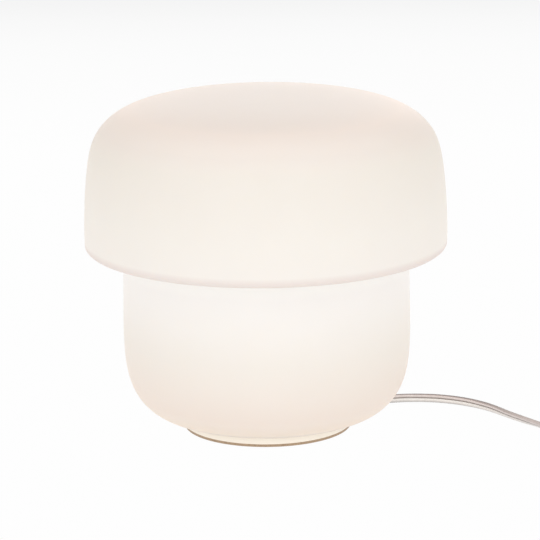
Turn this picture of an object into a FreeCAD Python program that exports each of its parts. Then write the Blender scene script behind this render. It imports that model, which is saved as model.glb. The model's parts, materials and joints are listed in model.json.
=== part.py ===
import FreeCAD, Part
import os
from math import sin, cos, tan, pi, radians, degrees, acos, sqrt

# Mushroom table lamp of white opal glass, in millimetres.
# +Z is up. The origin is the middle of the foot's underside, on the table.
# +Y points to the back of the lamp and +X to the right, where the cord leaves.
# Two blown glass pieces: an open pot that stands on a small enamelled steel foot,
# and a wide cap that rests on the pot's top edge like a hat and lifts off.

V = FreeCAD.Vector

# ------------------------------------------------------------ driving sizes
CAP_D = 240.0            # widest diameter of the cap
CAP_TOP = 222.06         # height of the crown over the table
CAP_WALL = 3.8           # thickness of the cap's glass
RIM_R = 2.96             # fire-polished bead on the cap's lower edge
POT_WALL = 4.0           # thickness of the pot's glass
POT_FLAT_R = 57.0        # radius of the pot's flat underside
POT_HOLE_R = 29.5        # hole in the pot's floor
TRIM_T = 1.5             # silicone edging between pot and cap
SEAT_GAP = 0.35          # air between edging and cap

FOOT_R = 56.2
PAD_T = 1.9              # felt under the foot
FOOT_TOP = 7.6
HUB_R = 26.5
HUB_TOP = 23.0
GASKET_T = 0.7
PLATE_T = 1.5            # pressed clamp plate
TUBE_R = 5.0             # M10x1 threaded tube
TUBE_BORE = 4.0
NUT_AF = 16.0

HOLDER_Z = 29.5          # underside of the E27 lampholder
BULB_TIP = HOLDER_Z + 17.0   # end contact of the lamp bulb
E27_R = 13.05            # crest of the bulb's thread
SHELL_R = 13.65          # bore of the holder's screw shell

FLEX_W = 5.7             # flat twin flex, width
FLEX_T = 2.9             # flat twin flex, thickness
EXIT_AZ = 26.0           # direction in which the flex leaves the foot, from +X
EXIT_Z = 4.3
SLEEVE_END = 76.0        # radius at which the tapered sleeve ends

SW_L, SW_W, SW_H = 56.0, 24.0, 16.5   # in-line switch
SW_X, SW_Y = 197.5, -92.0             # its middle on the table
SW_ENTRY_Z = 6.0
ROCK_AXIS_Z = 10.5
ROCK_TILT = 8.0

COIL_X, COIL_Y = 234.3, -150.0
COIL_R = 31.1            # middle of the turns
COIL_HALF = 7.2          # half width of the bundle
COIL_H = 12.0

PLUG_X, PLUG_Y = 269.5, -40.0         # plug's front face, pins towards +Y
PLUG_W, PLUG_T = 35.3, 13.7
PIN_R, PIN_L, PIN_GAP = 2.0, 19.0, 18.6
SLEEVE_R = 1.84                       # insulating sleeve on the pin's inner half
RELIEF_L = 58.0                       # plug body with its tapered tail

# outer profile of the cap, from the crown to the rim: poles (r, z) of a clamped cubic curve
CAP_POLES = [(0, CAP_TOP), (40.02, CAP_TOP), (88.67, 219.27), (110.06, 203.30),
             (118.14, 185.33), (120.44, 138.19), (119.84, 126.11)]
# outer profile of the pot, from under the cap down to the belly
POT_POLES = [(94.81, 148.1), (94.58, 108.6), (95.67, 76.22), (95.18, 33.56),
             (78.41, 9.82), (54.46, 5.94), (28.94, 8.51)]
POT_CUT_R = 67.9         # the drawn curve is followed down to here

# route of the flex on the table: lamp side, switch to coil, coil to plug
EX = (cos(radians(EXIT_AZ)), sin(radians(EXIT_AZ)))
LAMP_ROUTE = [(SLEEVE_END * EX[0], SLEEVE_END * EX[1], EXIT_Z),
              ((SLEEVE_END + 19.6) * EX[0], (SLEEVE_END + 19.6) * EX[1], EXIT_Z),
              (103.5, 45.6, 2.9), (118.0, 43.0, 2.9), (134.0, 36.3, 2.9),
              (150.0, 24.0, 2.9), (165.0, 1.5, 2.9), (181.0, -19.0, 2.9),
              (191.5, -32.5, 3.0), (SW_X, -50.0, SW_ENTRY_Z), (SW_X, -64.0, SW_ENTRY_Z)]
MID_ROUTE = [(SW_X, -120.0, SW_ENTRY_Z), (SW_X, -135.0, SW_ENTRY_Z), (SW_X, -149.5, 2.95)]
TAIL_ROUTE = [(271.1, -150.0, 8.7), (271.1, -137.0, 8.5), (270.2, -121.5, 5.6),
              (PLUG_X, -109.0, 6.85), (PLUG_X, -98.0, 6.85)]

os.makedirs("parts", exist_ok=True)
NODES = {}


def save(name, shape):
    s = shape.removeSplitter() if hasattr(shape, "removeSplitter") else shape
    if not s.isValid():
        s = shape
    solids = s.Solids
    s = solids[0] if len(solids) == 1 else Part.makeCompound(solids)
    NODES[name] = s
    s.exportStep("parts/%s.step" % name)
    b = s.BoundBox
    print("%-22s solids %d valid %s vol %9.1f  x %.1f..%.1f y %.1f..%.1f z %.1f..%.1f" % (
        name, len(solids), s.isValid(), s.Volume, b.XMin, b.XMax, b.YMin, b.YMax, b.ZMin, b.ZMax))


def turn(edges):
    """solid of revolution about Z of a closed outline in the XZ plane"""
    wire = Part.Wire(Part.__sortEdges__(edges))
    return Part.Face(wire).revolve(V(0, 0, 0), V(0, 0, 1), 360)


def poly(pts):
    q = [V(r, 0, z) for r, z in pts]
    return [Part.makeLine(q[i], q[(i + 1) % len(q)]) for i in range(len(q))]


def lathe(pts):
    return turn(poly(pts))


def cyl(r, z0, z1, x=0.0, y=0.0):
    return Part.makeCylinder(r, z1 - z0, V(x, y, z0))


def ring(r0, r1, z0, z1, x=0.0, y=0.0):
    return cyl(r1, z0, z1, x, y).cut(cyl(r0, z0 - 1, z1 + 1, x, y))


def box(x0, x1, y0, y1, z0, z1):
    return Part.makeBox(x1 - x0, y1 - y0, z1 - z0, V(x0, y0, z0))


def spun(shape, deg):
    s = shape.copy()
    s.rotate(V(0, 0, 0), V(0, 0, 1), deg)
    return s


def curve(poles):
    n = len(poles) - 3
    c = Part.BSplineCurve()
    c.buildFromPolesMultsKnots([V(r, 0, z) for r, z in poles], [4] + [1] * (n - 1) + [4],
                               [float(i) for i in range(n + 1)], False, 3)
    return c


def inset(c, u, wall):
    p, t = c.value(u), c.tangent(u)[0]
    return V(p.x + t.z * wall, 0, p.z - t.x * wall)


def through(pts, t0, t1):
    c = Part.BSplineCurve()
    c.interpolate(Points=pts, InitialTangent=t0, FinalTangent=t1)
    return c


# ------------------------------------------------------------ cap (upper glass)
cap_out = curve(CAP_POLES)
u1 = cap_out.LastParameter
rim_o = cap_out.value(u1)
rim_i = V(rim_o.x - 2 * RIM_R, 0, rim_o.z)
pts = [V(0, 0, CAP_TOP - CAP_WALL)]
for k in range(1, 15):
    u = u1 * k / 16.6
    pts.append(inset(cap_out, u, CAP_WALL))
pts = [p for p in pts if p.z > 141]
pts.append(V(rim_i.x + 0.55, 0, 133.0))
pts.append(rim_i)
cap_in = through(pts, V(1, 0, 0), V(0, 0, -1))
cap_edges = [cap_out.toShape(), Part.Arc(rim_o, V(rim_o.x - RIM_R, 0, rim_o.z - RIM_R), rim_i).toShape(),
             cap_in.toShape(), Part.makeLine(V(0, 0, CAP_TOP - CAP_WALL), V(0, 0, CAP_TOP))]
save("upper_shade", turn(cap_edges))


def cap_under(r):
    """height of the cap's inner face at a radius"""
    lo, hi = cap_in.FirstParameter, cap_in.LastParameter
    for _ in range(60):
        m = (lo + hi) / 2
        if cap_in.value(m).x < r:
            lo = m
        else:
            hi = m
    return cap_in.value(lo).z


# the inner face stays narrower than its widest point here, so the search is on the crown side
TRIM_R1 = POT_POLES[0][0] + 1.1
POT_TOP = round(cap_under(TRIM_R1 - 0.7) - TRIM_T - SEAT_GAP, 2)
print("pot's top edge at z", POT_TOP)

# ------------------------------------------------------------ pot (lower glass)
pot_out = curve(POT_POLES)
lo, hi = pot_out.LastParameter * 0.6, pot_out.LastParameter
for _ in range(60):
    m = (lo + hi) / 2
    if pot_out.value(m).x > POT_CUT_R:
        lo = m
    else:
        hi = m
ucut = lo
pc, tc = pot_out.value(ucut), pot_out.tangent(ucut)[0]
POT_Z = FOOT_TOP + GASKET_T
print("pot's curve handed over at", round(pc.x, 2), round(pc.z, 2), "slope", round(tc.z / tc.x, 3))
bez = Part.BezierCurve()
bez.setPoles([pc, V(pc.x + tc.x * 4.0, 0, pc.z + tc.z * 4.0), V(POT_FLAT_R + 3.5, 0, POT_Z), V(POT_FLAT_R, 0, POT_Z)])
belly = pot_out.copy()
belly.segment(pot_out.FirstParameter, ucut)
p0 = V(POT_POLES[0][0], 0, POT_POLES[0][1])
pts = [V(p0.x - POT_WALL, 0, p0.z)]
for k in range(1, 15):
    pts.append(inset(pot_out, ucut * k / 14.0, POT_WALL))
pts.append(inset(bez, 0.55, POT_WALL))
pts.append(V(POT_FLAT_R, 0, POT_Z + POT_WALL))
pot_in = through(pts, V(0, 0, -1), V(-1, 0, 0))
pot_edges = [Part.makeLine(V(p0.x, 0, POT_TOP), p0), belly.toShape(), bez.toShape(),
             Part.makeLine(V(POT_FLAT_R, 0, POT_Z), V(POT_HOLE_R, 0, POT_Z)),
             Part.makeLine(V(POT_HOLE_R, 0, POT_Z), V(POT_HOLE_R, 0, POT_Z + POT_WALL)),
             Part.makeLine(V(POT_HOLE_R, 0, POT_Z + POT_WALL), V(POT_FLAT_R, 0, POT_Z + POT_WALL)),
             pot_in.toShape(),
             Part.makeLine(pts[0], V(p0.x - POT_WALL, 0, POT_TOP)),
             Part.makeLine(V(p0.x - POT_WALL, 0, POT_TOP), V(p0.x, 0, POT_TOP))]
save("lower_shade", turn(pot_edges))

# silicone edging, a channel pushed over the pot's top edge
r0, r1 = p0.x - POT_WALL, p0.x
trim = lathe([(r0 - 1.1, POT_TOP - 5), (r0, POT_TOP - 5), (r0, POT_TOP), (r1, POT_TOP), (r1, POT_TOP - 5),
              (r1 + 1.1, POT_TOP - 5), (r1 + 1.1, POT_TOP + TRIM_T - 0.7), (r1 + 0.4, POT_TOP + TRIM_T),
              (r0 - 0.4, POT_TOP + TRIM_T), (r0 - 1.1, POT_TOP + TRIM_T - 0.7)])
save("rim_trim", trim)

# ------------------------------------------------------------ foot
save("felt_pad", lathe([(0, 0), (FOOT_R - 0.8, 0), (FOOT_R - 0.4, 0.4), (FOOT_R - 0.4, PAD_T), (0, PAD_T)]))

COVER_R, COVER_TOP = 30.0, PAD_T + 1.2
foot = lathe([(5.2, HUB_TOP - 2), (23, HUB_TOP - 2), (23, COVER_TOP), (COVER_R + 0.2, COVER_TOP),
              (COVER_R + 0.2, PAD_T), (FOOT_R - 0.4, PAD_T), (FOOT_R, PAD_T + 0.4), (FOOT_R, FOOT_TOP - 0.9),
              (FOOT_R - 0.25, FOOT_TOP - 0.3), (FOOT_R - 0.9, FOOT_TOP), (HUB_R, FOOT_TOP), (HUB_R, HUB_TOP),
              (5.2, HUB_TOP)])
slot = box(20, 60, -3.1, 3.1, 1.0, 6.5).fuse(box(47.5, 60, -4.4, 4.4, 1.0, 6.6))
foot = foot.cut(spun(slot, EXIT_AZ))
PLATE_SCREWS = [(26.6 * cos(radians(EXIT_AZ + a)), 26.6 * sin(radians(EXIT_AZ + a))) for a in (60, 180, 300)]
for x, y in PLATE_SCREWS:
    foot = foot.cut(cyl(1.5, COVER_TOP - 1, 6.9, x, y))
save("foot_body", foot)


def screw(x, y, z0, z1):
    """countersunk M3 from below, head flush at z0"""
    head = Part.makeCone(2.8, 1.5, 1.2, V(x, y, z0))
    drive = box(x - 2.2, x + 2.2, y - 0.3, y + 0.3, z0 - 1, z0 + 0.5)
    return head.fuse(cyl(1.5, z0 + 1.2, z1, x, y)).cut(drive)


CLAMP_SCREWS = [(15.5 * EX[0] - s * 6.4 * EX[1], 15.5 * EX[1] + s * 6.4 * EX[0]) for s in (-1, 1)]
cover = cyl(COVER_R, PAD_T, COVER_TOP)
for x, y in PLATE_SCREWS + CLAMP_SCREWS:
    cover = cover.cut(Part.makeCone(2.8, 1.5, 1.2, V(x, y, PAD_T)))
save("bottom_plate", cover)
save("bottom_plate_screws", Part.makeCompound([screw(x, y, PAD_T, 6.7) for x, y in PLATE_SCREWS]))

FLEX_Z = COVER_TOP + FLEX_T / 2
saddle = box(12, 19, -9, 9, COVER_TOP, 8.6).cut(box(11, 20, -FLEX_W / 2, FLEX_W / 2, 1, COVER_TOP + FLEX_T))
saddle = spun(saddle, EXIT_AZ)
for x, y in CLAMP_SCREWS:
    saddle = saddle.cut(cyl(1.5, 0, 8.0, x, y))
save("cord_clamp", saddle)
save("cord_clamp_screws", Part.makeCompound([screw(x, y, PAD_T, 7.8) for x, y in CLAMP_SCREWS]))

save("lower_gasket", ring(31, 50, FOOT_TOP, POT_Z))
UG = POT_Z + POT_WALL
save("upper_gasket", ring(31, 43, UG, UG + GASKET_T))
CB = UG + GASKET_T
CT = HUB_TOP + 1.4
save("clamp_plate", lathe([(5.2, CT), (27.2, CT), (27.2, CB), (44, CB), (44, CB + PLATE_T), (28.7, CB + PLATE_T),
                           (28.7, CT + PLATE_T - 0.8), (27.9, CT + PLATE_T), (5.2, CT + PLATE_T)]))
save("threaded_tube", ring(TUBE_BORE, TUBE_R, 16.5, HOLDER_Z + 4.5))


def hexnut(z0, z1):
    r = NUT_AF / 2 / cos(radians(30))
    p = [V(r * cos(radians(60 * i)), r * sin(radians(60 * i)), z0) for i in range(7)]
    h = Part.Face(Part.makePolygon(p)).extrude(V(0, 0, z1 - z0))
    lens = Part.makeCone(NUT_AF / 2 + 0.2, NUT_AF / 2 + 2.0, (z1 - z0) / 2, V(0, 0, z0)).fuse(
        Part.makeCone(NUT_AF / 2 + 2.0, NUT_AF / 2 + 0.2, (z1 - z0) / 2, V(0, 0, (z0 + z1) / 2)))
    return h.common(lens).cut(cyl(TUBE_R, z0 - 1, z1 + 1))


save("lower_nut", hexnut(HUB_TOP - 5, HUB_TOP - 2))
WT = CT + PLATE_T
washer = ring(TUBE_R + 0.15, 8.2, WT, WT + 0.6)
for i in range(12):
    washer = washer.cut(spun(box(7.0, 9.0, -0.55, 0.55, WT - 1, WT + 2), 30 * i))
save("tooth_washer", washer)
save("upper_nut", hexnut(WT + 0.6, HOLDER_Z))

# ------------------------------------------------------------ E27 lampholder
H = HOLDER_Z
save("holder_cap", lathe([(TUBE_R, H), (14.0, H), (18.5, H + 4.5), (18.5, H + 16.5), (16.7, H + 16.5),
                          (16.7, H + 5.6), (13.2, H + 1.8), (TUBE_R, H + 1.8)]))
save("holder_skirt", lathe([(16.7, H + 16.5), (18.5, H + 16.5), (20.0, H + 20.0), (20.0, H + 45.0), (19.0, H + 46.0),
                            (15.2, H + 46.0), (14.3, H + 45.0), (14.3, H + 21.5), (16.7, H + 21.5)]))
core = cyl(16.5, H + 9.0, H + 15.5)
core = core.fuse(ring(13.7, 16.5, H + 15.5, H + 20.5))
save("holder_insert", core)
save("screw_shell", lathe([(SHELL_R, H + 20.5), (16.4, H + 20.5), (16.4, H + 21.1), (14.25, H + 21.1),
                           (14.25, H + 42.0), (SHELL_R, H + 42.0)]))
leaf = [(-10, 15.5), (-6.5, 15.5), (-2, 16.2), (3, 16.2), (4, 15.8), (4, 16.3), (3, 16.7), (-2, 16.7),
        (-6.7, 16.0), (-10, 16.0)]
w = [V(x, -2.5, H + z) for x, z in leaf]
save("centre_contact", Part.Face(Part.makePolygon(w + [w[0]])).extrude(V(0, 5, 0)))

SPIN = EXIT_AZ + 90.0
blocks, screws, wires = [], [], []
for s in (0, 180):
    b = box(7, 12, -2.5, 2.5, H + 4.0, H + 9.0).cut(
        Part.makeCylinder(1.25, 3.0, V(9.0, 0, H + 6.5), V(1, 0, 0)))
    t = Part.makeCylinder(1.25, 3.0, V(9.0, 0, H + 6.5), V(1, 0, 0)).fuse(
        Part.makeCylinder(2.1, 1.5, V(12.0, 0, H + 6.5), V(1, 0, 0))).cut(
        box(13.0, 14, -2.5, 2.5, H + 6.2, H + 6.8))
    z0, z1 = H + 3.0, H + 6.5
    rb = 2.3
    path = Part.Wire([Part.LineSegment(V(1.45, 0, z0), V(1.45, 0, z1 - rb)).toShape(),
                      Part.Arc(V(1.45, 0, z1 - rb), V(1.45 + rb * (1 - cos(pi / 4)), 0, z1 - rb + rb * sin(pi / 4)),
                               V(1.45 + rb, 0, z1)).toShape(),
                      Part.LineSegment(V(1.45 + rb, 0, z1), V(7.0, 0, z1)).toShape()])
    c = Part.Wire([Part.makeCircle(1.1, V(1.45, 0, z0), V(0, 0, 1))])
    p = path.makePipeShell([c], True, True)
    blocks.append(spun(b, SPIN + s))
    screws.append(spun(t, SPIN + s))
    wires.append(spun(p, SPIN + s))
save("terminals", Part.makeCompound(blocks))
save("terminal_screws", Part.makeCompound(screws))
save("live_wire", wires[0])
save("neutral_wire", wires[1])

# the flex inside the foot, flat in its slot and then up the threaded tube
hw, ht, rb = FLEX_W / 2, FLEX_T / 2, 7.0
run = box(rb, 49.0, -hw, hw, FLEX_Z - ht, FLEX_Z + ht)
face = Part.Face(Part.makePolygon([V(-ht, -hw, FLEX_Z + rb), V(ht, -hw, FLEX_Z + rb), V(ht, hw, FLEX_Z + rb),
                                   V(-ht, hw, FLEX_Z + rb), V(-ht, -hw, FLEX_Z + rb)]))
bend = face.revolve(V(rb, 0, FLEX_Z + rb), V(0, -1, 0), 90)
up = box(-ht, ht, -hw, hw, FLEX_Z + rb, H + 3.0)
save("inner_flex", spun(run.fuse(bend).fuse(up), EXIT_AZ))

# ------------------------------------------------------------ bulb, A60 with an E27 cap
T = BULB_TIP
save("bulb_contact", lathe([(0, T), (2.6, T), (4.2, T + 0.6), (4.2, T + 1.1), (0, T + 1.1)]))
save("bulb_insulator", lathe([(0, T + 1.1), (5.0, T + 1.1), (11.5, T + 5.4), (11.5, T + 6.6), (0, T + 6.6)]))
crest, root_r, z = E27_R, E27_R - 0.8, T + 5.4
pts = [V(11.9, 0, z)]
z += 1.2
k = 0
while z < T + 21.0:
    pts.append(V(crest if k % 2 else root_r, 0, z))
    z += 3.629 / 2
    k += 1
pts.append(V(13.0, 0, T + 23.0))
thread = through(pts, V(0.4, 0, 1), V(0.2, 0, 1))
a, b = pts[0], pts[-1]
save("bulb_cap", turn([thread.toShape(), Part.makeLine(b, V(13.25, 0, T + 26.6)),
                       Part.makeLine(V(13.25, 0, T + 26.6), V(12.3, 0, T + 26.6)),
                       Part.makeLine(V(12.3, 0, T + 26.6), V(12.3, 0, T + 23.2)),
                       Part.makeLine(V(12.3, 0, T + 23.2), V(11.5, 0, T + 21.0)),
                       Part.makeLine(V(11.5, 0, T + 21.0), V(11.5, 0, T + 5.4)),
                       Part.makeLine(V(11.5, 0, T + 5.4), a)]))
GLOBE = [(12.3, T + 23.2), (12.3, T + 25.0), (12.3, T + 27.2), (12.3, T + 31.0), (13.6, T + 43.0), (28.0, T + 52.0), (31.2, T + 77.0),
         (27.5, T + 103.5), (12.0, T + 105.5), (0, T + 105.5)]
g = curve(GLOBE)
n = 24
# the curve runs upwards, so its inner side is on the other hand
gi = [inset(g, g.LastParameter * i / n, -0.9) for i in range(n)]
gi[0] = V(11.4, 0, T + 23.2)
gi.append(V(0, 0, T + 105.5 - 0.9))
ginner = through(gi, V(0, 0, 1), V(-1, 0, 0))
save("bulb_globe", turn([g.toShape(), Part.makeLine(V(0, 0, T + 105.5), V(0, 0, T + 104.6)),
                         ginner.toShape(), Part.makeLine(V(11.4, 0, T + 23.2), V(12.3, 0, T + 23.2))]))
rmax = max(g.value(g.LastParameter * i / 200.0).x for i in range(201))
print("bulb's widest radius", round(rmax, 2))
save("bulb_stem", lathe([(0, T + 23.2), (11.37, T + 23.2), (11.37, T + 24.4), (4.0, T + 27.0), (3.2, T + 34.0),
                         (3.2, T + 53.0), (4.8, T + 55.0), (4.8, T + 56.2), (0, T + 56.2)]))
rods = [cyl(0.9, T + 56.2, T + 93.0, 3.6 * cos(a), 3.6 * sin(a)) for a in (pi / 4, 3 * pi / 4, 5 * pi / 4, 7 * pi / 4)]
save("bulb_filaments", Part.makeCompound(rods))
save("filament_bridge", cyl(4.8, T + 93.0, T + 93.8))

# ------------------------------------------------------------ tapered sleeve on the flex


def stadium(w, h, x, z):
    """flat oval outline across the X axis"""
    r = min(w, h) / 2 * 0.999
    a = w / 2 - r
    if a < 0.05:
        a = 0.05
    e = [Part.LineSegment(V(x, -a, z + r), V(x, a, z + r)).toShape(),
         Part.Arc(V(x, a, z + r), V(x, a + r, z), V(x, a, z - r)).toShape(),
         Part.LineSegment(V(x, a, z - r), V(x, -a, z - r)).toShape(),
         Part.Arc(V(x, -a, z - r), V(x, -a - r, z), V(x, -a, z + r)).toShape()]
    return Part.Wire(e)


def loft(ws):
    return Part.makeLoft(ws, True, True)


sl = loft([stadium(8.6, 4.4, 49.0, EXIT_Z), stadium(8.6, 4.4, 57.5, EXIT_Z),
           stadium(7.9, 4.4, 62.0, EXIT_Z), stadium(6.9, 4.1, SLEEVE_END, EXIT_Z)])
save("cord_sleeve", spun(sl, EXIT_AZ))


# ------------------------------------------------------------ flex on the table
def tube(name, route, d):
    P = [V(*p) for p in route]
    edges, start, radii = [], P[0], []
    for i in range(1, len(P) - 1):
        a, b, c = P[i - 1], P[i], P[i + 1]
        u, v = a.sub(b), c.sub(b)
        lu, lv = u.Length, v.Length
        u.normalize()
        v.normalize()
        dot = max(-1.0, min(1.0, u.dot(v)))
        ang = pi - acos(dot)
        t = 0.45 * min(lu, lv)
        R = t / tan(ang / 2)
        radii.append(round(R, 1))
        p1, p2 = b + u * t, b + v * t
        bis = u + v
        bis.normalize()
        mid = b + bis * (R / cos(ang / 2) - R)
        edges.append(Part.LineSegment(start, p1).toShape())
        edges.append(Part.Arc(p1, mid, p2).toShape())
        start = p2
    edges.append(Part.LineSegment(start, P[-1]).toShape())
    wire = Part.Wire(edges)
    dirn = P[1].sub(P[0])
    prof = Part.Wire([Part.makeCircle(d / 2, P[0], dirn)])
    s = wire.makePipeShell([prof], True, False)
    want = pi * d * d / 4 * wire.Length
    print("%s: length %.1f, radii %s, runs %s, volume / (section x length) = %.4f, lowest z %.3f" % (
        name, wire.Length, radii, [round(P[i].sub(P[i + 1]).Length, 1) for i in range(len(P) - 1)],
        s.Volume / want, s.BoundBox.ZMin))
    save(name, s)
    return wire.Length


L1 = tube("lamp_cord", LAMP_ROUTE, FLEX_W)
L2 = tube("plug_cord", MID_ROUTE, FLEX_W)
L3 = tube("plug_tail", TAIL_ROUTE, FLEX_W)
b = 3.0
ro, ri = COIL_R + COIL_HALF, COIL_R - COIL_HALF
outline = [Part.LineSegment(V(ri + b, 0, 0), V(ro - b, 0, 0)), Part.Arc(V(ro - b, 0, 0), V(ro - b + b * sin(pi / 4), 0, b - b * cos(pi / 4)), V(ro, 0, b)),
           Part.LineSegment(V(ro, 0, b), V(ro, 0, COIL_H - b)), Part.Arc(V(ro, 0, COIL_H - b), V(ro - b + b * sin(pi / 4), 0, COIL_H - b + b * cos(pi / 4)), V(ro - b, 0, COIL_H)),
           Part.LineSegment(V(ro - b, 0, COIL_H), V(ri + b, 0, COIL_H)), Part.Arc(V(ri + b, 0, COIL_H), V(ri + b - b * sin(pi / 4), 0, COIL_H - b + b * cos(pi / 4)), V(ri, 0, COIL_H - b)),
           Part.LineSegment(V(ri, 0, COIL_H - b), V(ri, 0, b)), Part.Arc(V(ri, 0, b), V(ri + b - b * sin(pi / 4), 0, b - b * cos(pi / 4)), V(ri + b, 0, 0))]
coil = turn([e.toShape() for e in outline])
coil.translate(V(COIL_X, COIL_Y, 0))
save("cord_coil", coil)
print("flex: lamp side %.0f, through the switch %.0f, to the coil %.0f, to the plug %.0f, 7.5 turns %.0f, sum %.0f" % (
    L1, SW_L, L2, L3, 7.5 * 2 * pi * COIL_R, L1 + SW_L + L2 + L3 + 7.5 * 2 * pi * COIL_R))

# ------------------------------------------------------------ in-line switch, drawn along X and then placed


def lozenge(l, w, c, z0, z1):
    q = [(-l / 2, -w / 2 + c), (-l / 2 + c, -w / 2), (l / 2 - c, -w / 2), (l / 2, -w / 2 + c),
         (l / 2, w / 2 - c), (l / 2 - c, w / 2), (-l / 2 + c, w / 2), (-l / 2, w / 2 - c)]
    f = Part.Face(Part.makePolygon([V(x, y, z0) for x, y in q] + [V(q[0][0], q[0][1], z0)]))
    return f.extrude(V(0, 0, z1 - z0))


hull = lozenge(SW_L, SW_W, 6.5, 0, SW_H)
vert = [e for e in hull.Edges if abs(e.BoundBox.ZLength - SW_H) < 0.01]
hull = hull.makeFillet(4.0, vert)
topE = [e for e in hull.Edges if e.BoundBox.ZMin > SW_H - 0.01]
hull = hull.makeFillet(2.2, topE)
botE = [e for e in hull.Edges if e.BoundBox.ZMax < 0.01]
hull = hull.makeFillet(0.8, botE)
cave = lozenge(SW_L - 3.6, SW_W - 3.6, 6.0, 1.6, SW_H - 1.8)
shell = hull.cut(cave)
low = shell.common(box(-40, 40, -20, 20, -1, SW_ENTRY_Z))
high = shell.common(box(-40, 40, -20, 20, SW_ENTRY_Z, 30))
for x in (-21.0, 21.0):
    low = low.fuse(cyl(3.3, 1.0, SW_ENTRY_Z, x, 0)).cut(cyl(2.8, -1, 2.2, x, 0)).cut(cyl(1.5, 1, 8, x, 0))
    high = high.fuse(cyl(3.3, SW_ENTRY_Z, SW_H - 1.0, x, 0)).cut(cyl(1.3, 5, 12.2, x, 0))
high = high.cut(box(-13.4, 13.4, -6.2, 6.2, SW_H - 4, SW_H + 1))
for s in (-1, 1):
    ear = box(-3.5, 3.5, 6.35, 8.3, 7.5, SW_H - 1.0) if s > 0 else box(-3.5, 3.5, -8.3, -6.35, 7.5, SW_H - 1.0)
    high = high.fuse(ear)
AXLE = Part.makeCylinder(1.2, 16.6, V(0, -8.3, ROCK_AXIS_Z), V(0, 1, 0))
high = high.cut(Part.makeCylinder(1.2, 16.6, V(0, -8.3, ROCK_AXIS_Z), V(0, 1, 0)))
prof = [(0, 5.9), (6.0, 6.3), (12.0, 7.7), (12.0, 1.0), (7.0, -3.5), (-7.0, -3.5), (-12.0, 1.0), (-12.0, 7.7), (-6.0, 6.3)]
w = [V(x, -5.8, ROCK_AXIS_Z + z) for x, z in prof]
rocker = Part.Face(Part.makePolygon(w + [w[0]])).extrude(V(0, 11.6, 0))
rim = [e for e in rocker.Edges if e.BoundBox.ZMin > ROCK_AXIS_Z + 5.5 and e.BoundBox.YLength < 0.01]
rocker = rocker.makeFillet(0.8, rim)
rocker = rocker.cut(Part.makeCylinder(1.26, 20, V(0, -10, ROCK_AXIS_Z), V(0, 1, 0)))
rocker.rotate(V(0, 0, ROCK_AXIS_Z), V(0, 1, 0), ROCK_TILT)
scr = [cyl(2.5, 0.4, 2.2, x, 0).fuse(cyl(1.3, 2.2, 12.0, x, 0)).cut(box(x - 2, x + 2, -0.35, 0.35, -1, 1.1))
       for x in (-21.0, 21.0)]
clips = [box(x, x + 4, 3.4, 7.4, 1.6, 5.2).cut(Part.makeCylinder(1.0, 6, V(x - 1, 5.4, 3.4), V(1, 0, 0)))
         for x in (-10.0, 6.0)]
leads = [Part.makeCylinder(1.0, 47.2, V(-23.6, -5.4, 2.6), V(1, 0, 0)),
         Part.makeCylinder(1.0, 15.6, V(-23.6, 5.4, 3.4), V(1, 0, 0)),
         Part.makeCylinder(1.0, 15.6, V(8.0, 5.4, 3.4), V(1, 0, 0))]


def place_switch(s):
    q = s.copy()
    q.rotate(V(0, 0, 0), V(0, 0, 1), -90)
    q.translate(V(SW_X, SW_Y, 0))
    return q


save("switch_base", place_switch(low))
save("switch_cover", place_switch(high))
save("switch_axle", place_switch(AXLE))
save("switch_rocker", place_switch(rocker))
save("switch_screws", place_switch(Part.makeCompound(scr)))
save("switch_contacts", place_switch(Part.makeCompound(clips)))
save("switch_leads", place_switch(Part.makeCompound(leads)))

# ------------------------------------------------------------ two-pin mains plug, drawn with its face at X = 0


def rounded(w, h, r, x):
    y, z, k = w / 2, h / 2, r * (1 - cos(pi / 4))
    c = [V(x, -y + r, z), V(x, y - r, z), V(x, y, z - r), V(x, y, -z + r), V(x, y - r, -z), V(x, -y + r, -z),
         V(x, -y, -z + r), V(x, -y, z - r)]
    m = [V(x, y - k, z - k), V(x, y - k, -z + k), V(x, -y + k, -z + k), V(x, -y + k, z - k)]
    e = []
    for i in range(4):
        e.append(Part.LineSegment(c[2 * i], c[2 * i + 1]).toShape())
        e.append(Part.Arc(c[2 * i + 1], m[i], c[(2 * i + 2) % 8]).toShape())
    return Part.Wire(e)


body = loft([rounded(PLUG_W - 1.6, PLUG_T - 1.6, 3.2, 0.0), rounded(PLUG_W, PLUG_T, 4.0, 1.2),
             rounded(PLUG_W, PLUG_T, 4.0, 9.0), rounded(29.0, 13.0, 4.0, 17.0), rounded(19.0, 11.4, 4.0, 27.0),
             rounded(12.6, 9.8, 3.6, 36.0), rounded(9.6, 7.6, 3.0, 39.0), rounded(7.2, 4.9, 2.2, RELIEF_L)])
pins, sleeves = [], []
for s in (-1, 1):
    y = s * PIN_GAP / 2
    body = body.cut(Part.makeCylinder(1.55, 7.0, V(0, y, 0), V(1, 0, 0)))
    pin = Part.makeCylinder(1.55, 17.0, V(-10.0, y, 0), V(1, 0, 0)).fuse(
        Part.makeCylinder(PIN_R, PIN_L - 10.0, V(-PIN_L, y, 0), V(1, 0, 0)))
    tip = [e for e in pin.Edges if e.BoundBox.XMax < -PIN_L + 0.01]
    pin = pin.makeFillet(1.0, tip)
    pins.append(pin)
    sleeves.append(Part.makeCylinder(SLEEVE_R, 10.0, V(-10.0, y, 0), V(1, 0, 0)).cut(
        Part.makeCylinder(1.55, 12.0, V(-11.0, y, 0), V(1, 0, 0))))


def place_plug(s):
    q = s.copy()
    q.rotate(V(0, 0, 0), V(0, 0, 1), -90)
    q.translate(V(PLUG_X, PLUG_Y, PLUG_T / 2))
    return q


save("plug_body", place_plug(body))
save("plug_pins", place_plug(Part.makeCompound(pins)))
save("plug_sleeves", place_plug(Part.makeCompound(sleeves)))
print(len(NODES), "nodes")
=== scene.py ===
import json
import math

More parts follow.
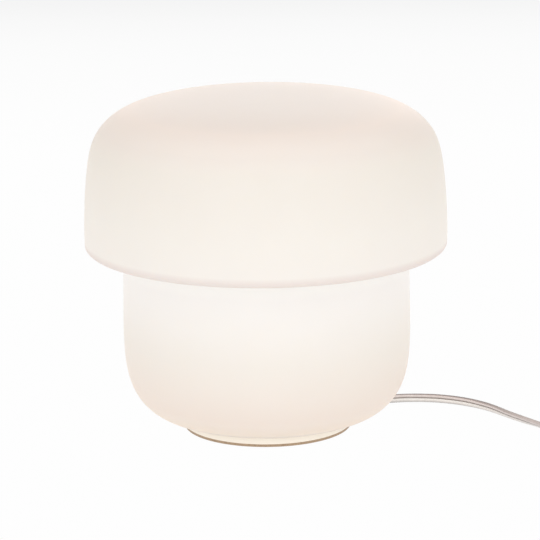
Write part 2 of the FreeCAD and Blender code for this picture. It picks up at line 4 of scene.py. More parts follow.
import bpy
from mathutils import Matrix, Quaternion, Vector


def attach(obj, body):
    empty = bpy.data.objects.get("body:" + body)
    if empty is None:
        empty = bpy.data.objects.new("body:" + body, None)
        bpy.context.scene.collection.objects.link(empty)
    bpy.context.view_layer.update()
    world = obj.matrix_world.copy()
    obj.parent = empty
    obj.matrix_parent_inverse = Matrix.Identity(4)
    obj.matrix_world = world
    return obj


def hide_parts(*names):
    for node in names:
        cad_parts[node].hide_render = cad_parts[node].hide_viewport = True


# Mushroom table lamp of opal glass: looks. The row frame is in metres, +Z up, +Y to the back.

scene = bpy.context.scene
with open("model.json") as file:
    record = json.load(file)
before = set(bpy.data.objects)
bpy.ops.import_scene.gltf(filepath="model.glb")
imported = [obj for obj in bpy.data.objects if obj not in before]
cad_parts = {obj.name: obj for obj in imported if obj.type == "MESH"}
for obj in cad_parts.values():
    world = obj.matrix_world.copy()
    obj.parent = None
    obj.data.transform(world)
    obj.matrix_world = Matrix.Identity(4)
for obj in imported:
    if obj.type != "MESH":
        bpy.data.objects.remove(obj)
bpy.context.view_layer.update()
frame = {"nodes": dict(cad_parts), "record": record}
NODES = frame["nodes"]

# ------------------------------------------------------------ camera
scene.view_settings.view_transform = "Standard"
scene.view_settings.look = "None"
scene.view_settings.exposure = 0.0
scene.view_settings.gamma = 1.0

cam_data = bpy.data.cameras.new("camera")
cam = bpy.data.objects.new("camera", cam_data)
scene.collection.objects.link(cam)
cam_data.sensor_width = 36.0
cam_data.lens = 224.9506
cam_data.clip_start = 0.05
cam_data.clip_end = 60.0
cam.location = (0.0, -2.17243720, 0.64825999)
aim = Vector((0.00245, 0.0, 0.10570)) - cam.location
cam.rotation_mode = "QUATERNION"
cam.rotation_quaternion = aim.to_track_quat("-Z", "Y") @ Quaternion((0, 0, 1), -0.01127299)
scene.camera = cam


# ------------------------------------------------------------ node helpers
def new_material(name):
    m = bpy.data.materials.new(name)
    m.use_nodes = True
    t = m.node_tree
    t.nodes.clear()
    out = t.nodes.new("ShaderNodeOutputMaterial")
    p = t.nodes.new("ShaderNodeBsdfPrincipled")
    t.links.new(p.outputs["BSDF"], out.inputs["Surface"])
    return m, t, p


def coords(t, stretch=(1, 1, 1)):
    c = t.nodes.new("ShaderNodeTexCoord")
    mp = t.nodes.new("ShaderNodeMapping")
    mp.inputs["Scale"].default_value = stretch
    t.links.new(c.outputs["Object"], mp.inputs["Vector"])
    return mp.outputs["Vector"]


def noise(t, vec, scale, detail=4.0, rough=0.55):
    n = t.nodes.new("ShaderNodeTexNoise")
    n.inputs["Scale"].default_value = scale
    n.inputs["Detail"].default_value = detail
    n.inputs["Roughness"].default_value = rough
    t.links.new(vec, n.inputs["Vector"])
    return n.outputs["Fac"]


def ramp(t, fac, stops, mode="LINEAR"):
    r = t.nodes.new("ShaderNodeValToRGB")
    cr = r.color_ramp
    cr.interpolation = mode
    while len(cr.elements) < len(stops):
        cr.elements.new(0.5)
    for e, (pos, col) in zip(cr.elements, sorted(stops)):
        e.position = pos
    for e, (pos, col) in zip(cr.elements, sorted(stops)):
        e.color = tuple(col[:3]) + (1.0,)
    t.links.new(fac, r.inputs["Fac"])
    return r.outputs["Color"]


def spread(t, fac, lo, hi, a=0.3, b=0.7):
    m = t.nodes.new("ShaderNodeMapRange")
    m.inputs["From Min"].default_value = a
    m.inputs["From Max"].default_value = b
    m.inputs["To Min"].default_value = lo
    m.inputs["To Max"].default_value = hi
    t.links.new(fac, m.inputs["Value"])
    return m.outputs["Result"]


def bump(t, p, height, distance, strength=1.0):
    b = t.nodes.new("ShaderNodeBump")
    b.inputs["Strength"].default_value = strength
    b.inputs["Distance"].default_value = distance
    t.links.new(height, b.inputs["Height"])
    t.links.new(b.outputs["Normal"], p.inputs["Normal"])


def shade(c, k):
    return tuple(max(0.0, min(1.0, x * k)) for x in c)


def surface(name, color, rough, metal=0.0, vary=0.04, scale=120.0, rough_vary=0.05, grain=900.0, depth=0.00002,
            stretch=(1, 1, 1), coat=0.0, spec=0.5, sheen=0.0, sss=0.0, emit=None, emit_strength=0.0):
    m, t, p = new_material(name)
    v = coords(t, stretch)
    big = noise(t, v, scale)
    t.links.new(ramp(t, big, [(0.25, shade(color, 1 - vary)), (0.75, shade(color, 1 + vary))]), p.inputs["Base Color"])
    fine = noise(t, v, grain, 3.0)
    t.links.new(spread(t, fine, max(0.02, rough - rough_vary), min(1.0, rough + rough_vary)), p.inputs["Roughness"])
    if depth:
        bump(t, p, fine, depth)
    p.inputs["Metallic"].default_value = metal
    p.inputs["Specular IOR Level"].default_value = spec
    p.inputs["Coat Weight"].default_value = coat
    p.inputs["Sheen Weight"].default_value = sheen
    if sss:
        p.inputs["Subsurface Weight"].default_value = sss
        p.inputs["Subsurface Radius"].default_value = (0.004, 0.003, 0.0025)
        p.inputs["Subsurface Scale"].default_value = 1.0
    if emit:
        p.inputs["Emission Color"].default_value = tuple(emit) + (1.0,)
        p.inputs["Emission Strength"].default_value = emit_strength
    return m


def height(t, z0, z1):
    """object height from z0 to z1 as 0 to 1"""
    c = t.nodes.new("ShaderNodeTexCoord")
    s = t.nodes.new("ShaderNodeSeparateXYZ")
    m = t.nodes.new("ShaderNodeMapRange")
    m.inputs["From Min"].default_value = z0
    m.inputs["From Max"].default_value = z1
    t.links.new(c.outputs["Object"], s.inputs["Vector"])
    t.links.new(s.outputs["Z"], m.inputs["Value"])
    return m.outputs["Result"]


def opal(name, z0, z1, glow, body):
    """satin opal glass with the bulb's light in it, brighter and dimmer with height"""
    m, t, p = new_material(name)
    v = coords(t)
    cloud = noise(t, v, 38.0, 3.0)
    # base colour by height; for the pot this ramp holds painted shade near the foot
    base = ramp(t, height(t, z0, z1), [((z / 1000 - z0) / (z1 - z0), c) for z, c in body])
    mul = t.nodes.new("ShaderNodeMix")
    mul.data_type = "RGBA"
    mul.blend_type = "MULTIPLY"
    mul.inputs[0].default_value = 1.0
    t.links.new(base, mul.inputs[6])
    t.links.new(ramp(t, cloud, [(0.25, (0.988, 0.988, 0.988)), (0.75, (1.0, 1.0, 1.0))]), mul.inputs[7])
    t.links.new(mul.outputs[2], p.inputs["Base Color"])
    fine = noise(t, v, 650.0, 2.0)
    t.links.new(spread(t, fine, 0.40, 0.46), p.inputs["Roughness"])
    wave = noise(t, v, 16.0, 1.0)
    bump(t, p, wave, 0.00008, 0.5)
    p.inputs["Specular IOR Level"].default_value = 0.25
    p.inputs["Subsurface Weight"].default_value = 0.25
    p.inputs["Subsurface Radius"].default_value = (0.006, 0.005, 0.004)
    p.inputs["Subsurface Scale"].default_value = 1.0
    g = ramp(t, height(t, z0, z1), [((z / 1000 - z0) / (z1 - z0), c) for z, c in glow])
    t.links.new(g, p.inputs["Emission Color"])
    p.inputs["Emission Strength"].default_value = 1.0
    return m


# ------------------------------------------------------------ glass profiles, millimetres
CAP_POLES = [(0, 222.06), (40.02, 222.06), (88.67, 219.27), (110.06, 203.30), (118.14, 185.33), (120.44, 138.19),
             (119.84, 126.11)]
CAP_WALL, RIM_R = 3.8, 2.96
POT_POLES = [(94.81, 148.1), (94.58, 108.6), (95.67, 76.22), (95.18, 33.56), (78.41, 9.82), (54.46, 5.94),
             (28.94, 8.51)]
POT_WALL, POT_CUT_R, POT_Z, POT_FLAT_R, POT_HOLE_R, POT_TOP = 4.0, 67.9, 8.3, 57.0, 29.5, 206.35


def spline(poles, u):
    """point on a clamped uniform cubic B-spline"""
    k, n = 3, len(poles) - 3
    knots = [0.0] * 4 + [float(i) for i in range(1, n)] + [float(n)] * 4
    u = min(max(u, 0.0), n - 1e-9)
    i = int(u) + k
    d = [poles[i - k + j] for j in range(k + 1)]
    for r in range(1, k + 1):
        for j in range(k, r - 1, -1):
            a0, a1 = knots[i - k + j], knots[i + 1 + j - r]
            a = (u - a0) / (a1 - a0)
            d[j] = ((1 - a) * d[j - 1][0] + a * d[j][0], (1 - a) * d[j - 1][1] + a * d[j][1])
    return d[k]


def slope(poles, u):
    n = len(poles) - 3
    a, b = spline(poles, max(u - 1e-4, 0)), spline(poles, min(u + 1e-4, n))
    dr, dz = b[0] - a[0], b[1] - a[1]
    length = math.hypot(dr, dz)
    return dr / length, dz / length


def inset(poles, u, wall):
    p, t = spline(poles, u), slope(poles, u)
    return p[0] + t[1] * wall, p[1] - t[0] * wall


def hermite(p, q, a, b, n):
    """points from p towards q, leaving along a and arriving along b"""
    out = []
    for i in range(1, n + 1):
        s = i / n
        h = (2 * s**3 - 3 * s * s + 1, s**3 - 2 * s * s + s, -2 * s**3 + 3 * s * s, s**3 - s * s)
        out.append(tuple(h[0] * p[j] + h[1] * a[j] + h[2] * q[j] + h[3] * b[j] for j in (0, 1)))
    return out


def cap_profile():
    outer = [spline(CAP_POLES, 4.0 * i / 96) for i in range(97)]
    ro, zo = outer[-1]
    bead = [(ro - RIM_R + RIM_R * math.cos(a), zo - RIM_R * math.sin(a)) for a in
            [math.pi * i / 12 for i in range(1, 12)]]
    inner = [inset(CAP_POLES, 4.0 * i / 96, CAP_WALL) for i in range(97)]
    inner[0] = (0.0, CAP_POLES[0][1] - CAP_WALL)
    inner = [p for p in inner if p[1] > 141.0]
    last, end = inner[-1], (ro - 2 * RIM_R, zo)
    tail = hermite(last, end, (-0.2, -14.0), (0.0, -16.0), 8)
    return outer + bead + list(reversed(inner + tail))


def pot_profile():
    lo, hi = 2.0, 4.0
    for _ in range(50):
        m = (lo + hi) / 2
        if spline(POT_POLES, m)[0] > POT_CUT_R:
            lo = m
        else:
            hi = m
    cut = lo
    pc, tc = spline(POT_POLES, cut), slope(POT_POLES, cut)
    bez = [pc, (pc[0] + tc[0] * 4, pc[1] + tc[1] * 4), (POT_FLAT_R + 3.5, POT_Z), (POT_FLAT_R, POT_Z)]

    def at(s):
        w = ((1 - s) ** 3, 3 * s * (1 - s) ** 2, 3 * s * s * (1 - s), s**3)
        return tuple(sum(w[i] * bez[i][j] for i in range(4)) for j in (0, 1))

    outer = [(POT_POLES[0][0], POT_TOP), (POT_POLES[0][0], 190.0), (POT_POLES[0][0], 170.0)]
    outer += [spline(POT_POLES, cut * i / 84) for i in range(85)]
    outer += [at(i / 10) for i in range(1, 11)]
    outer += [(50.0, POT_Z), (40.0, POT_Z), (POT_HOLE_R, POT_Z)]
    inner = [(POT_POLES[0][0] - POT_WALL, POT_TOP), (POT_POLES[0][0] - POT_WALL, 190.0),
             (POT_POLES[0][0] - POT_WALL, 170.0)]
    inner += [inset(POT_POLES, cut * i / 84, POT_WALL) for i in range(85)]
    a, b = inner[-1], (POT_FLAT_R, POT_Z + POT_WALL)
    inner += hermite(a, b, (tc[0] * 8, tc[1] * 8), (-8.0, 0.0), 8)
    inner += [(50.0, POT_Z + POT_WALL), (40.0, POT_Z + POT_WALL), (POT_HOLE_R, POT_Z + POT_WALL)]
    return outer, inner


def lathe(name, profile, closed, count=180):
    """mesh turned about Z from (r, z) in millimetres"""
    verts, rows = [], []
    for r, z in profile:
        if r < 1e-6:
            rows.append([len(verts)])
            verts.append((0.0, 0.0, z / 1000))
            continue
        rows.append(list(range(len(verts), len(verts) + count)))
        for i in range(count):
            a = 2 * math.pi * i / count
            verts.append((r * math.cos(a) / 1000, r * math.sin(a) / 1000, z / 1000))
    faces = []
    pairs = [(i, i + 1) for i in range(len(rows) - 1)] + ([(len(rows) - 1, 0)] if closed else [])
    for a, b in pairs:
        ra, rb = rows[a], rows[b]
        for i in range(count):
            j = (i + 1) % count
            if len(ra) == 1 and len(rb) == 1:
                continue
            if len(ra) == 1:
                faces.append((ra[0], rb[i], rb[j]))
            elif len(rb) == 1:
                faces.append((ra[i], rb[0], ra[j]))
            else:
                faces.append((ra[i], rb[i], rb[j], ra[j]))
    me = bpy.data.meshes.new(name)
    me.from_pydata(verts, [], faces)
    me.validate()
    me.polygons.foreach_set("use_smooth", [True] * len(me.polygons))
    me.update()
    o = bpy.data.objects.new(name, me)
    scene.collection.objects.link(o)
    return o


def sharpen(o, degrees):
    mod = o.modifiers.new("flat_faces", "EDGE_SPLIT")
    mod.split_angle = math.radians(degrees)
    mod.use_edge_sharp = False


# the glass itself by height in millimetres, with painted shade darkening and warming the pot near the foot, and the
# light in it
CAP_BODY = [(122, (0.659, 0.654, 0.644)), (222, (0.659, 0.654, 0.644))]
POT_BODY_AND_PAINTED_SHADE = [(8.5, (0.560, 0.505, 0.450)), (12, (0.635, 0.605, 0.572)), (22, (0.659, 0.654, 0.644)),
            (208, (0.659, 0.654, 0.644))]
CAP_GLOW = [(123, (0.10, 0.03, 0.00)), (126, (0.135, 0.055, 0.02)), (129.5, (0.21, 0.165, 0.12)),
            (150, (0.195, 0.155, 0.105)), (192, (0.16, 0.11, 0.05)), (203, (0.17, 0.10, 0.045)),
            (215, (0.225, 0.13, 0.07)), (222.1, (0.16, 0.095, 0.05))]
POT_GLOW = [(8, (0.00, 0.00, 0.00)), (14, (0.18, 0.09, 0.01)), (26, (0.17, 0.07, 0.00)),
            (65, (0.195, 0.145, 0.09)), (108, (0.27, 0.25, 0.235)), (118, (0.33, 0.33, 0.315)),
            (150, (0.24, 0.195, 0.15)), (208, (0.19, 0.145, 0.10))]

cap = lathe("cap_glass", cap_profile(), False)
cap.data.materials.append(opal("opal_glass_cap", 0.120, 0.2222, CAP_GLOW, CAP_BODY))
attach(cap, "shade")
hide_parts("upper_shade")

po, pi_ = pot_profile()
pot = lathe("pot_glass", po + list(reversed(pi_)), True)
sharpen(pot, 50)
pot.data.materials.append(opal("opal_glass_pot", 0.008, 0.2082, POT_GLOW, POT_BODY_AND_PAINTED_SHADE))
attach(pot, "base")
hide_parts("lower_shade")

# ------------------------------------------------------------ flat flex
FLEX_W, FLEX_T = 5.7, 2.9
EX = (math.cos(math.radians(26.0)), math.sin(math.radians(26.0)))
# x, y, z in millimetres and the flex's lean in degrees: 0 lies flat, 90 stands on edge
ROUTE = [
    (70.0 * EX[0], 70.0 * EX[1], 4.3, 0),
    (76.0 * EX[0], 76.0 * EX[1], 4.3, 12),
    (95.6 * EX[0], 95.6 * EX[1], 4.0, 66),
    (103.5, 46.4, 2.9, 74), (118.0, 43.6, 2.95, 75), (134.0, 36.1, 2.95, 80), (150.0, 22.0, 2.95, 96),
    (164.6, -1.2, 2.85, 114), (180.6, -20.0, 2.6, 132), (191.5, -33.0, 2.2, 165), (197.5, -50.0, 5.6, 178),
    (197.5, -64.0, 6.0, 180), (197.5, -76.0, 3.4, 180), (197.5, -92.0, 3.2, 180), (197.5, -108.0, 3.4, 180),
    (197.5, -120.0, 6.0, 180), (197.5, -135.0, 5.4, 138), (197.5, -149.5, 2.95, 94),
]
COIL = (234.3, -150.0)
COIL_IN, COIL_OUT, TURNS, STEPS = 25.5, 36.8, 7.5, 16
for i in range(1, int(TURNS * STEPS)):
    n = i / STEPS
    r = COIL_IN + (COIL_OUT - COIL_IN) * abs(n - TURNS / 2) / (TURNS / 2)
    r /= (1 + math.cos(math.pi / STEPS)) / 2
    s = min(max((n - 3.5) / 0.5, 0.0), 1.0)
    a = math.pi + 2 * math.pi * n
    ROUTE.append((COIL[0] + r * math.cos(a), COIL[1] + r * math.sin(a), 2.95 + 5.7 * s * s * (3 - 2 * s), 90))
ROUTE += [(271.1, -150.0, 8.65, 86), (271.1, -137.0, 8.3, 60), (270.2, -121.5, 5.6, 25), (269.5, -109.0, 6.85, 5),
          (269.5, -98.0, 6.85, 0), (269.5, -92.0, 6.85, 0)]

cu = bpy.data.curves.new("flex_line", "CURVE")
cu.dimensions = "3D"
cu.resolution_u = 8
sp = cu.splines.new("NURBS")
sp.points.add(len(ROUTE) - 1)
for pt, (x, y, z, lean) in zip(sp.points, ROUTE):
    pt.co = (x / 1000, y / 1000, z / 1000, 1.0)
sp.order_u = 3
sp.use_endpoint_u = True
line = bpy.data.objects.new("flex_line", cu)
scene.collection.objects.link(line)
bpy.context.view_layer.update()
path_mesh = bpy.data.meshes.new_from_object(line)
PATH = [v.co.copy() for v in path_mesh.vertices]
bpy.data.objects.remove(line)


def lean_at(i):
    x = i / (len(PATH) - 1) * (len(ROUTE) - 2) + 0.5
    k = min(max(int(x), 0), len(ROUTE) - 2)
    f = min(max(x - k, 0.0), 1.0)
    f = f * f * (3 - 2 * f)
    return math.radians(ROUTE[k][3] * (1 - f) + ROUTE[k + 1][3] * f)


def frames():
    out = []
    for i, p in enumerate(PATH):
        t = (PATH[min(i + 1, len(PATH) - 1)] - PATH[max(i - 1, 0)]).normalized()
        side = Vector((0, 0, 1)).cross(t).normalized()
        up = t.cross(side).normalized()
        a = lean_at(i)
        wide = side * math.cos(a) + up * math.sin(a)
        thick = up * math.cos(a) - side * math.sin(a)
        out.append((p, wide, thick))
    return out


FRAMES = frames()


def sweep(name, ring):
    """skin through copies of a closed ring of (across, thick) points in millimetres"""
    n = len(ring)
    verts, faces, marks, turned = [], [], [], []
    for i, (p, wide, thick) in enumerate(FRAMES):
        k = min(max((i / (len(FRAMES) - 1) * (len(ROUTE) - 2) + 0.5 - TURN_FROM) / (TURN_TO - TURN_FROM), 0.0), 1.0)
        for a, b in ring:
            verts.append(p + (wide * a + thick * b) / 1000)
            marks.append(a / (FLEX_W / 2))
            turned.append(k)
    m = len(FRAMES)
    for i in range(m - 1):
        for j in range(n):
            k = (j + 1) % n
            faces.append((i * n + j, i * n + k, (i + 1) * n + k, (i + 1) * n + j))
    faces.append(tuple(range(n - 1, -1, -1)))
    faces.append(tuple((m - 1) * n + j for j in range(n)))
    me = bpy.data.meshes.new(name)
    me.from_pydata(verts, [], faces)
    me.polygons.foreach_set("use_smooth", [True] * len(me.polygons))
    for key, values in (("across", marks), ("turned", turned)):
        at = me.attributes.new(key, "FLOAT", "POINT")
        at.data.foreach_set("value", values)
    me.update()
    o = bpy.data.objects.new(name, me)
    scene.collection.objects.link(o)
    return o


# the flex is turned towards the viewer at its start and lies turned away from these route points on; between them its
# painted shade and highlight blend into a second ramp
TURN_FROM, TURN_TO = 5.2, 7.6
LOBE_R, LOBE_C = 1.48, 1.42
half = math.pi - math.acos(LOBE_C / LOBE_R)
RING = []
for i in range(13):
    a = -half + 2 * half * i / 12
    RING.append((LOBE_C + LOBE_R * math.cos(a), LOBE_R * math.sin(a)))
for i in range(1, 12):
    a = -half + 2 * half * i / 12
    RING.append((-LOBE_C - LOBE_R * math.cos(a), -LOBE_R * math.sin(a)))
flex = sweep("flat_flex", RING)


def flex_material():
    m, t, p = new_material("clear_flex")
    at = t.nodes.new("ShaderNodeAttribute")
    at.attribute_name = "across"
    fac = spread(t, at.outputs["Fac"], 0.0, 1.0, -1.0, 1.0)
    # two cores under a clear sheath, tinned below and bare copper above, with painted shade along the sheath's edges
    # and in the groove between the cores, and a painted highlight on the lower core
    stops = [(0.00, (0.48, 0.45, 0.43)), (0.07, (0.58, 0.545, 0.52)), (0.18, (0.70, 0.66, 0.63)),
             (0.30, (0.92, 0.88, 0.84)), (0.42, (1.00, 0.985, 0.965)), (0.465, (0.58, 0.52, 0.49)),
             (0.50, (0.18, 0.15, 0.13)), (0.535, (0.38, 0.32, 0.29)), (0.62, (0.60, 0.53, 0.50)),
             (0.74, (0.82, 0.73, 0.70)), (0.82, (0.74, 0.65, 0.62)), (0.90, (0.38, 0.32, 0.305)),
             (1.00, (0.30, 0.26, 0.25))]
    # the turned flex: painted shade in the groove between the cores and along its edges
    flat = [(0.00, (0.60, 0.565, 0.54)), (0.12, (0.68, 0.64, 0.61)), (0.30, (0.74, 0.70, 0.67)),
            (0.42, (0.66, 0.615, 0.59)), (0.465, (0.30, 0.265, 0.25)), (0.50, (0.08, 0.065, 0.06)),
            (0.535, (0.28, 0.24, 0.225)), (0.60, (0.56, 0.495, 0.47)), (0.78, (0.70, 0.615, 0.585)),
            (0.90, (0.60, 0.53, 0.505)), (1.00, (0.56, 0.49, 0.465))]
    tu = t.nodes.new("ShaderNodeAttribute")
    tu.attribute_name = "turned"
    both = t.nodes.new("ShaderNodeMix")
    both.data_type = "RGBA"
    t.links.new(tu.outputs["Fac"], both.inputs[0])
    t.links.new(ramp(t, fac, stops), both.inputs[6])
    t.links.new(ramp(t, fac, flat), both.inputs[7])
    c = both.outputs[2]
    v = coords(t)
    n = noise(t, v, 260.0, 3.0)
    mix = t.nodes.new("ShaderNodeMix")
    mix.data_type = "RGBA"
    mix.blend_type = "MULTIPLY"
    mix.inputs[0].default_value = 1.0
    t.links.new(c, mix.inputs[6])
    t.links.new(ramp(t, n, [(0.2, (0.92, 0.92, 0.92)), (0.8, (1.0, 1.0, 1.0))]), mix.inputs[7])
    t.links.new(mix.outputs[2], p.inputs["Base Color"])
    t.links.new(spread(t, n, 0.20, 0.32), p.inputs["Roughness"])
    p.inputs["Specular IOR Level"].default_value = 0.5
    return m


flex.data.materials.append(flex_material())
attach(flex, "base")
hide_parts("lamp_cord", "plug_cord", "plug_tail", "cord_coil")

# ------------------------------------------------------------ ribbed sleeve where the flex leaves the foot
def sleeve_size(x):
    """width and thickness of the sleeve at a distance from the lamp's axis, millimetres"""
    for (x0, w0, h0), (x1, w1, h1) in (((49.0, 8.6, 4.4), (57.5, 8.6, 4.4)), ((57.5, 8.6, 4.4), (62.0, 7.9, 4.4)),
                                       ((62.0, 7.9, 4.4), (76.0, 6.9, 4.1))):
        if x <= x1:
            f = (x - x0) / (x1 - x0)
            return w0 + (w1 - w0) * f, h0 + (h1 - h0) * f
    return 6.9, 4.1


steps = [49.0, 53.0, 57.5]
while steps[-1] < 75.2:
    steps.append(steps[-1] + 0.35)
steps.append(76.0)
sv, sf, COUNT = [], [], 40
for x in steps:
    w_, h_ = sleeve_size(x)
    cutin = 0.0
    if 60.0 < x < 74.6:
        cutin = 0.42 * max(0.0, math.cos(2 * math.pi * (x - 60.0) / 2.43 + math.pi)) ** 0.6
    if x > 75.0:
        cutin = 0.25
    r_ = h_ / 2
    flat_ = w_ / 2 - r_
    for i in range(COUNT):
        a = 2 * math.pi * i / COUNT
        y_ = (flat_ if math.cos(a) >= 0 else -flat_) + (r_ - cutin) * math.cos(a)
        z_ = (r_ - cutin) * math.sin(a)
        sv.append(((x * EX[0] - y_ * EX[1]) / 1000, (x * EX[1] + y_ * EX[0]) / 1000, (4.3 + z_) / 1000))
for i in range(len(steps) - 1):
    for j in range(COUNT):
        k = (j + 1) % COUNT
        sf.append((i * COUNT + j, (i + 1) * COUNT + j, (i + 1) * COUNT + k, i * COUNT + k))
sf.append(tuple(range(COUNT)))
sf.append(tuple((len(steps) - 1) * COUNT + j for j in range(COUNT - 1, -1, -1)))
sm = bpy.data.meshes.new("ribbed_sleeve")
sm.from_pydata(sv, [], sf)
sm.polygons.foreach_set("use_smooth", [True] * len(sm.polygons))
sm.update()
sleeve = bpy.data.objects.new("ribbed_sleeve", sm)
scene.collection.objects.link(sleeve)
sharpen(sleeve, 40)
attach(sleeve, "base")
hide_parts("cord_sleeve")

# ------------------------------------------------------------ materials of the other pieces
CREAM = (1.0, 0.91, 0.79)


def enamel(name, color):
    """cream stove enamel, with painted shade darkening its top edge in the corner under the glass"""
    m = surface(name, color, 0.32, vary=0.015, scale=60, grain=500, depth=0.00001, coat=0.2)
    t = m.node_tree
    p = t.nodes["Principled BSDF"]
    src = p.inputs["Base Color"].links[0].from_socket
    mul = t.nodes.new("ShaderNodeMix")
    mul.data_type = "RGBA"
    mul.blend_type = "MULTIPLY"
    mul.inputs[0].default_value = 1.0
    t.links.new(src, mul.inputs[6])
    # painted shade: darker towards the top of the foot, where the glass overhangs it
    t.links.new(ramp(t, height(t, 0.0019, 0.0076), [(0.0, (1, 1, 1)), (0.80, (1, 1, 1)), (0.93, (0.84, 0.82, 0.80)),
                                                   (1.0, (0.80, 0.77, 0.74))]), mul.inputs[7])
    t.links.new(mul.outputs[2], p.inputs["Base Color"])
    return m


MATERIALS = {
    "silicone": surface("silicone", (0.78, 0.78, 0.75), 0.55, vary=0.03, sss=0.2),
    "cream_enamel": enamel("cream_enamel", CREAM),
    "tan_felt": surface("tan_felt", (0.44, 0.31, 0.205), 0.95, vary=0.22, scale=900, grain=2600, depth=0.0003,
                        sheen=0.3, spec=0.1),
    "zinc_steel": surface("zinc_steel", (0.62, 0.62, 0.60), 0.38, metal=1.0, vary=0.08, scale=300, rough_vary=0.1),
    "white_steel": surface("white_steel", (0.80, 0.79, 0.76), 0.45, vary=0.02),
    "brass": surface("brass", (0.72, 0.52, 0.24), 0.3, metal=1.0, vary=0.08),
    "porcelain": surface("porcelain", (0.84, 0.83, 0.79), 0.18, vary=0.02, coat=0.5),
    "white_plastic": surface("white_plastic", (0.80, 0.785, 0.75), 0.42, vary=0.02, grain=1500, depth=0.00003),
    "saddle_plastic": surface("saddle_plastic", (0.62, 0.61, 0.56), 0.5, vary=0.03),
    "clear_flex": surface("clear_flex_inner", (0.66, 0.60, 0.57), 0.3, vary=0.06),
    "clear_vinyl": surface("clear_vinyl", (0.74, 0.71, 0.68), 0.25, vary=0.05, sss=0.3),
    "brown_wire": surface("brown_wire", (0.12, 0.055, 0.03), 0.35, vary=0.08),
    "blue_wire": surface("blue_wire", (0.03, 0.09, 0.32), 0.35, vary=0.08),
    "bulb_opal": surface("bulb_opal", (0.88, 0.86, 0.80), 0.4, vary=0.02, emit=(1.0, 0.86, 0.66), emit_strength=0.5),
    "stem_glass": surface("stem_glass", (0.86, 0.87, 0.86), 0.1, vary=0.02, coat=0.3),
    "filament": surface("filament", (0.90, 0.66, 0.22), 0.6, vary=0.05, emit=(1.0, 0.75, 0.40), emit_strength=2.0),
    "nickel": surface("nickel", (0.70, 0.69, 0.66), 0.22, metal=1.0, vary=0.05),
    "black_glass": surface("black_glass", (0.02, 0.02, 0.022), 0.12, vary=0.3, coat=0.4),
    "tin": surface("tin", (0.58, 0.58, 0.56), 0.35, metal=1.0, vary=0.1),
    "switch_white": surface("switch_white", (0.82, 0.81, 0.775), 0.3, vary=0.015, grain=1500, depth=0.00001),
    "opal_glass": surface("opal_glass", (0.80, 0.785, 0.765), 0.45, vary=0.01),
}
sleeve.data.materials.append(MATERIALS["clear_vinyl"])
SLOT = {s["node"]: s["material_slot"] for s in frame["record"]["subparts"]}


def smooth_by_angle(degrees):
    """modifier group that joins the facets of a curved face and keeps real edges crisp"""
    g = bpy.data.node_groups.new("smooth_by_angle", "GeometryNodeTree")
    g.interface.new_socket("Geometry", in_out="INPUT", socket_type="NodeSocketGeometry")
    g.interface.new_socket("Geometry", in_out="OUTPUT", socket_type="NodeSocketGeometry")
    gin, gout = g.nodes.new("NodeGroupInput"), g.nodes.new("NodeGroupOutput")
    weld = g.nodes.new("GeometryNodeMergeByDistance")
    weld.inputs["Distance"].default_value = 0.000002
    faces = g.nodes.new("GeometryNodeSetShadeSmooth")
    edges = g.nodes.new("GeometryNodeSetShadeSmooth")
    edges.domain = "EDGE"
    edges.inputs["Shade Smooth"].default_value = False
    ang = g.nodes.new("GeometryNodeInputMeshEdgeAngle")
    over = g.nodes.new("FunctionNodeCompare")
    over.data_type = "FLOAT"
    over.operation = "GREATER_THAN"
    over.inputs["B"].default_value = math.radians(degrees)
    g.links.new(gin.outputs[0], weld.inputs["Geometry"])
    g.links.new(weld.outputs["Geometry"], faces.inputs["Geometry"])
    g.links.new(faces.outputs["Geometry"], edges.inputs["Geometry"])
    g.links.new(ang.outputs["Unsigned Angle"], over.inputs["A"])
    g.links.new(over.outputs["Result"], edges.inputs["Selection"])
    g.links.new(edges.outputs["Geometry"], gout.inputs[0])
    return g


SMOOTH = smooth_by_angle(34)
for n, o in NODES.items():
    o.modifiers.new("smooth_by_angle", "NODES").node_group = SMOOTH
    o.data.materials.clear()
    o.data.materials.append(MATERIALS[SLOT[n]])

# ------------------------------------------------------------ studio
WALLS, CEILING, FRONT, REAR = 1.02, 0.38, 0.88, 1.0
w = bpy.data.worlds.new("studio")
scene.world = w
w.use_nodes = True
wt = w.node_tree
wt.nodes.clear()
wo = wt.nodes.new("ShaderNodeOutputWorld")
bg = wt.nodes.new("ShaderNodeBackground")
bg.inputs["Strength"].default_value = 1.0
wt.links.new(bg.outputs["Background"], wo.inputs["Surface"])
wc = wt.nodes.new("ShaderNodeTexCoord")
# white walls round a dimmer ceiling
ws = wt.nodes.new("ShaderNodeSeparateXYZ")
wt.links.new(wc.outputs["Generated"], ws.inputs["Vector"])
walls = ramp(wt, spread(wt, ws.outputs["Z"], 0.0, 1.0, 0.05, 0.55), [(0.0, (WALLS,) * 3), (1.0, (CEILING,) * 3)])
# a large soft light in front of the lamp
wd = wt.nodes.new("ShaderNodeVectorMath")
wd.operation = "DOT_PRODUCT"
wd.inputs[1].default_value = Vector((0.035, -0.64, 0.76)).normalized()
wt.links.new(wc.outputs["Generated"], wd.inputs[0])
soft = ramp(wt, spread(wt, wd.outputs["Value"], 0.0, 1.0, 0.1, 1.0), [(0.0, (0, 0, 0)), (1.0, (FRONT,) * 3)], "EASE")
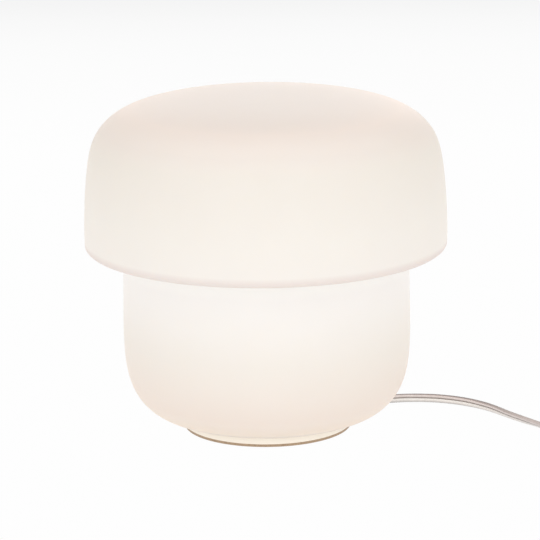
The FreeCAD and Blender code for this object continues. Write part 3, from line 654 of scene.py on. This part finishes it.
# and one behind it, low over the table's far edge
wb = wt.nodes.new("ShaderNodeVectorMath")
wb.operation = "DOT_PRODUCT"
wb.inputs[1].default_value = Vector((0.06, 0.98, 0.19)).normalized()
wt.links.new(wc.outputs["Generated"], wb.inputs[0])
rear = ramp(wt, spread(wt, wb.outputs["Value"], 0.0, 1.0, 0.94, 1.0), [(0.0, (0, 0, 0)), (1.0, (REAR,) * 3)], "EASE")


def add(a, b):
    n = wt.nodes.new("ShaderNodeMix")
    n.data_type = "RGBA"
    n.blend_type = "ADD"
    n.inputs[0].default_value = 1.0
    wt.links.new(a, n.inputs[6])
    wt.links.new(b, n.inputs[7])
    return n.outputs[2]


wt.links.new(add(add(walls, soft), rear), bg.inputs["Color"])

fm = bpy.data.meshes.new("table_top")
ring = [(12 * math.cos(2 * math.pi * i / 64), 12 * math.sin(2 * math.pi * i / 64), -0.0001) for i in range(64)]
fm.from_pydata(ring, [], [tuple(range(64))])
table_top = bpy.data.objects.new("table_top", fm)
scene.collection.objects.link(table_top)
m = bpy.data.materials.new("table_white")
m.use_nodes = True
t = m.node_tree
t.nodes.clear()
out = t.nodes.new("ShaderNodeOutputMaterial")
em = t.nodes.new("ShaderNodeEmission")
c = t.nodes.new("ShaderNodeTexCoord")
s = t.nodes.new("ShaderNodeSeparateXYZ")
t.links.new(c.outputs["Object"], s.inputs["Vector"])
far = t.nodes.new("ShaderNodeMapRange")
far.inputs["From Min"].default_value = 0.9
far.inputs["From Max"].default_value = 1.9
t.links.new(s.outputs["Y"], far.inputs["Value"])
t.links.new(ramp(t, far.outputs["Result"], [(0.0, (0.99, 0.99, 0.99)), (0.22, (0.982, 0.982, 0.982)),
                                           (0.43, (0.974, 0.974, 0.974)), (0.55, (0.965, 0.965, 0.965)),
                                           (0.68, (0.945, 0.945, 0.945)), (0.80, (0.915, 0.915, 0.915)),
                                           (1.0, (0.88, 0.88, 0.88))]), em.inputs["Color"])
em.inputs["Strength"].default_value = 1.0
tr = t.nodes.new("ShaderNodeBsdfTransparent")
geo = t.nodes.new("ShaderNodeNewGeometry")
mixs = t.nodes.new("ShaderNodeMixShader")
t.links.new(geo.outputs["Backfacing"], mixs.inputs["Fac"])
t.links.new(em.outputs["Emission"], mixs.inputs[1])
t.links.new(tr.outputs["BSDF"], mixs.inputs[2])
t.links.new(mixs.outputs["Shader"], out.inputs["Surface"])
fm.materials.append(m)
